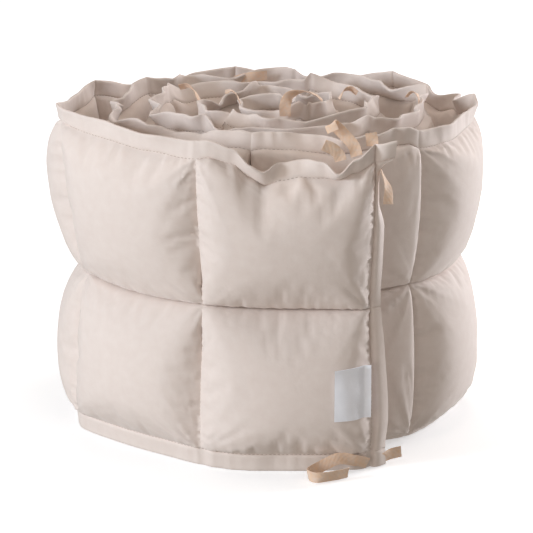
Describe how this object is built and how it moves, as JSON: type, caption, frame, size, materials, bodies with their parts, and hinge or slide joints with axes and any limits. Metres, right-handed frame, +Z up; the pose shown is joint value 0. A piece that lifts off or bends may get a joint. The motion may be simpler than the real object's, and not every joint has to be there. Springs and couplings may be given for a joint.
{
  "type": "rolled crib bumper",
  "caption": "Long quilted cotton crib bumper rolled into a drum on its edge, with tape ties and a bare side label.",
  "frame": {"origin": "middle of the box on the plan, at the height of the lower hem that it stands on", "axes": "+Z up along the height of the pad, -Y the front with the outer end's seam, +X its right"},
  "size_m": [0.4317, 0.4341, 0.3381],
  "materials": {
    "cotton": "smooth percale cotton",
    "tape": "cotton twill tape",
    "label": "woven white tape, bare"
  },
  "bodies": {
    "root": {"quilted_roll": "cotton", "side_label": "label", "tie_back_strip": "tape", "tie_core_arch": "tape", "tie_core_right": "tape", "tie_corner_hanging": "tape", "tie_corner_tip": "tape", "tie_foot_curled": "tape", "tie_foot_right": "tape", "tie_foot_short": "tape", "tie_front_long": "tape", "tie_front_short": "tape", "tie_inner_front": "tape", "tie_inner_left": "tape", "tie_right_loop": "tape"}
  },
  "joints": []
}
